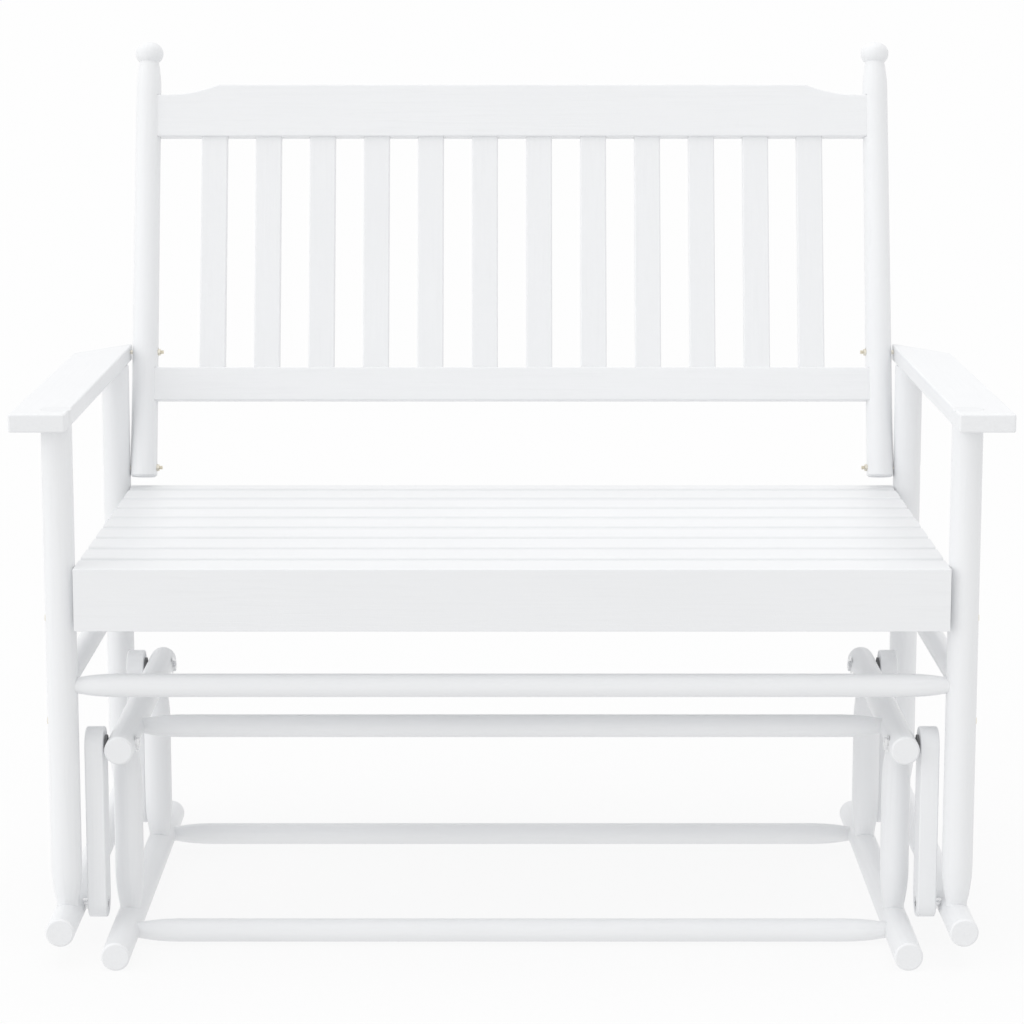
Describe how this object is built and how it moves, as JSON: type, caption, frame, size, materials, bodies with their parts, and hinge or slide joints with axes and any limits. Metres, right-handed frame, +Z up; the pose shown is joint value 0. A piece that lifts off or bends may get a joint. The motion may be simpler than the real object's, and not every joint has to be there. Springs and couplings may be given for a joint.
{
  "type": "glider bench",
  "caption": "Painted wooden glider bench: a slatted seat with arms and a reclined slatted back hangs on pivoting links from a low base on round runners and glides to and fro.",
  "frame": {"origin": "on the floor under the middle of the bench's box, with the seat at rest", "axes": "+X across the bench to the right as seen from the front, +Y to the rear, +Z up"},
  "size_m": [1.09, 0.7033, 0.9952],
  "materials": {
    "white_paint": "satin white paint on wood",
    "bright_steel": "bright zinc plate",
    "zinc_steel": "yellow zinc plate",
    "black_nylon": "moulded"
  },
  "bodies": {
    "base": {"base_leg_front_left": "white_paint", "base_leg_front_right": "white_paint", "base_leg_rear_left": "white_paint", "base_leg_rear_right": "white_paint", "base_lower_stretcher_front": "white_paint", "base_lower_stretcher_rear": "white_paint", "base_runner_left": "white_paint", "base_runner_right": "white_paint", "base_top_rail_left": "white_paint", "base_top_rail_right": "white_paint", "base_upper_stretcher": "white_paint", "top_pivot_bolts": "bright_steel", "top_pivot_nuts": "bright_steel", "top_pivot_washers": "bright_steel"},
    "front_left_link": {"link_front_left": "white_paint", "link_bushes_front_left": "black_nylon"},
    "front_right_link": {"link_front_right": "white_paint", "link_bushes_front_right": "black_nylon"},
    "rear_left_link": {"link_rear_left": "white_paint", "link_bushes_rear_left": "black_nylon"},
    "rear_right_link": {"link_rear_right": "white_paint", "link_bushes_rear_right": "black_nylon"},
    "glider_seat": {"arm_left": "white_paint", "arm_right": "white_paint", "back_bolts": "zinc_steel", "back_bottom_rail": "white_paint", "back_nuts": "zinc_steel", "back_post_left": "white_paint", "back_post_right": "white_paint", "back_slats": "white_paint", "back_top_rail": "white_paint", "bottom_pivot_bolts": "bright_steel", "bottom_pivot_inserts": "bright_steel", "front_apron": "white_paint", "front_leg_left": "white_paint", "front_leg_right": "white_paint", "front_stretcher": "white_paint", "leg_screws": "zinc_steel", "rear_apron": "white_paint", "rear_leg_left": "white_paint", "rear_leg_right": "white_paint", "rear_stretcher": "white_paint", "seat_bolts": "zinc_steel", "seat_rail_left": "white_paint", "seat_rail_middle": "white_paint", "seat_rail_right": "white_paint", "seat_runner_left": "white_paint", "seat_runner_right": "white_paint", "seat_slat_1": "white_paint", "seat_slat_2": "white_paint", "seat_slat_3": "white_paint", "seat_slat_4": "white_paint", "seat_slat_5": "white_paint", "seat_slat_6": "white_paint", "seat_slat_7": "white_paint", "seat_slat_8": "white_paint", "seat_slat_9": "white_paint", "side_stretcher_left": "white_paint", "side_stretcher_right": "white_paint"}
  },
  "joints": [
    {"name": "front_left_swing", "type": "hinge", "parent": "base", "child": "front_left_link", "pos_m": [-0.4664, -0.25766, 0.233], "axis": [1, 0, 0], "range_deg": [-18, 18]},
    {"name": "front_right_swing", "type": "hinge", "parent": "base", "child": "front_right_link", "pos_m": [0.4664, -0.25766, 0.233], "axis": [1, 0, 0], "range_deg": [-18.5, 18.5]},
    {"name": "rear_left_swing", "type": "hinge", "parent": "base", "child": "rear_left_link", "pos_m": [-0.4664, 0.10634, 0.233], "axis": [1, 0, 0], "range_deg": [-18.5, 18.5]},
    {"name": "rear_right_swing", "type": "hinge", "parent": "base", "child": "rear_right_link", "pos_m": [0.4664, 0.10634, 0.233], "axis": [1, 0, 0], "range_deg": [-18.5, 18.5]},
    {"name": "seat_level", "type": "hinge", "parent": "front_left_link", "child": "glider_seat", "pos_m": [-0.4664, -0.25766, 0.0465], "axis": [1, 0, 0], "range_deg": [-18.5, 18.5]}
  ],
  "couplings": [
    {"joint": "front_right_swing", "follows": "front_left_swing", "ratio": 1},
    {"joint": "rear_left_swing", "follows": "front_left_swing", "ratio": 1},
    {"joint": "rear_right_swing", "follows": "front_left_swing", "ratio": 1},
    {"joint": "seat_level", "follows": "front_left_swing", "ratio": -1}
  ]
}
